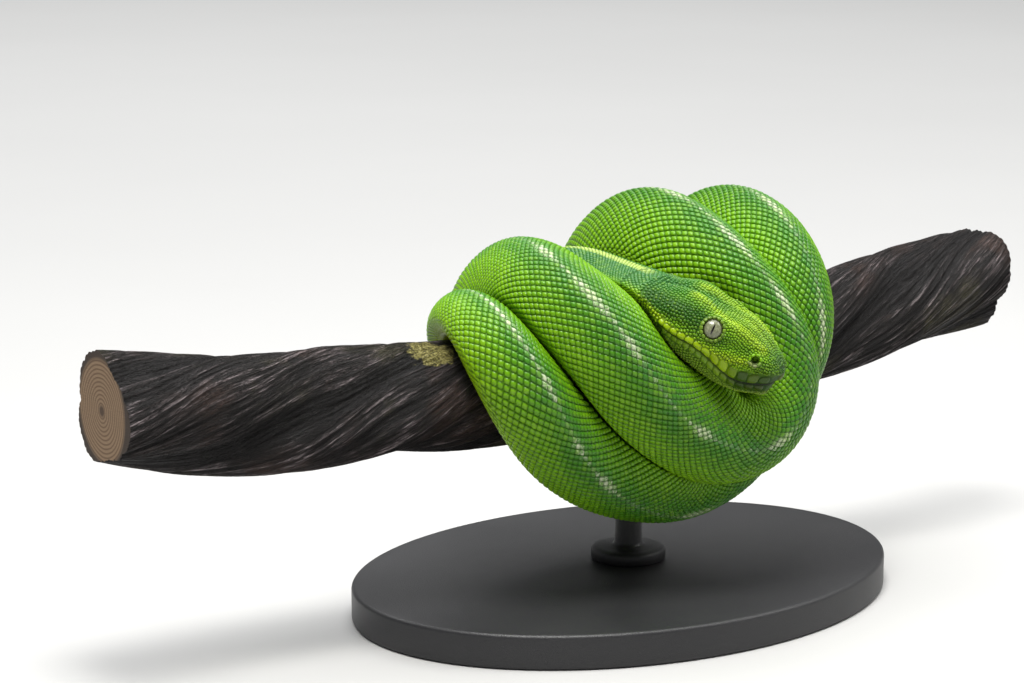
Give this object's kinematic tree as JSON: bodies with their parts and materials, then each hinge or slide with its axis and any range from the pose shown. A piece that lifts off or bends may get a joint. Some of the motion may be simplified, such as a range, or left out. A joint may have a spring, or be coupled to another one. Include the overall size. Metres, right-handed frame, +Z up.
{
  "type": "coiled green tree python",
  "caption": "life-size still model of a green tree python resting in a saddle of loops over a cut length of branch, head in the middle, held by a plain display stand",
  "frame": {"origin": "middle of the branch's length, on the floor under the stand's base", "axes": "+X along the branch to the end at the snake's left, -Y the side the head faces, +Z up"},
  "size_m": [0.3, 0.124, 0.1206],
  "materials": {
    "skin_green": "small overlapping scales with a soft shine, vivid green, yellower towards the belly",
    "eye_silver": "wet silver-grey eye with an upright slit",
    "bark": "nearly black stringy bark, twisted like an old rope",
    "stand_black": "matt black powder coat"
  },
  "bodies": {
    "root": {"head": "skin_green", "eye_left": "eye_silver", "eye_right": "eye_silver", "neck_1": "skin_green", "neck_2": "skin_green", "trunk_01": "skin_green", "trunk_02": "skin_green", "trunk_03": "skin_green", "trunk_04": "skin_green", "trunk_05": "skin_green", "trunk_06": "skin_green", "trunk_07": "skin_green", "trunk_08": "skin_green", "trunk_09": "skin_green", "trunk_10": "skin_green", "trunk_11": "skin_green", "trunk_12": "skin_green", "tail_1": "skin_green", "tail_2": "skin_green", "tail_3": "skin_green", "tail_4": "skin_green", "perch": "bark", "stand_base": "stand_black", "stand_rod": "stand_black"}
  },
  "joints": []
}
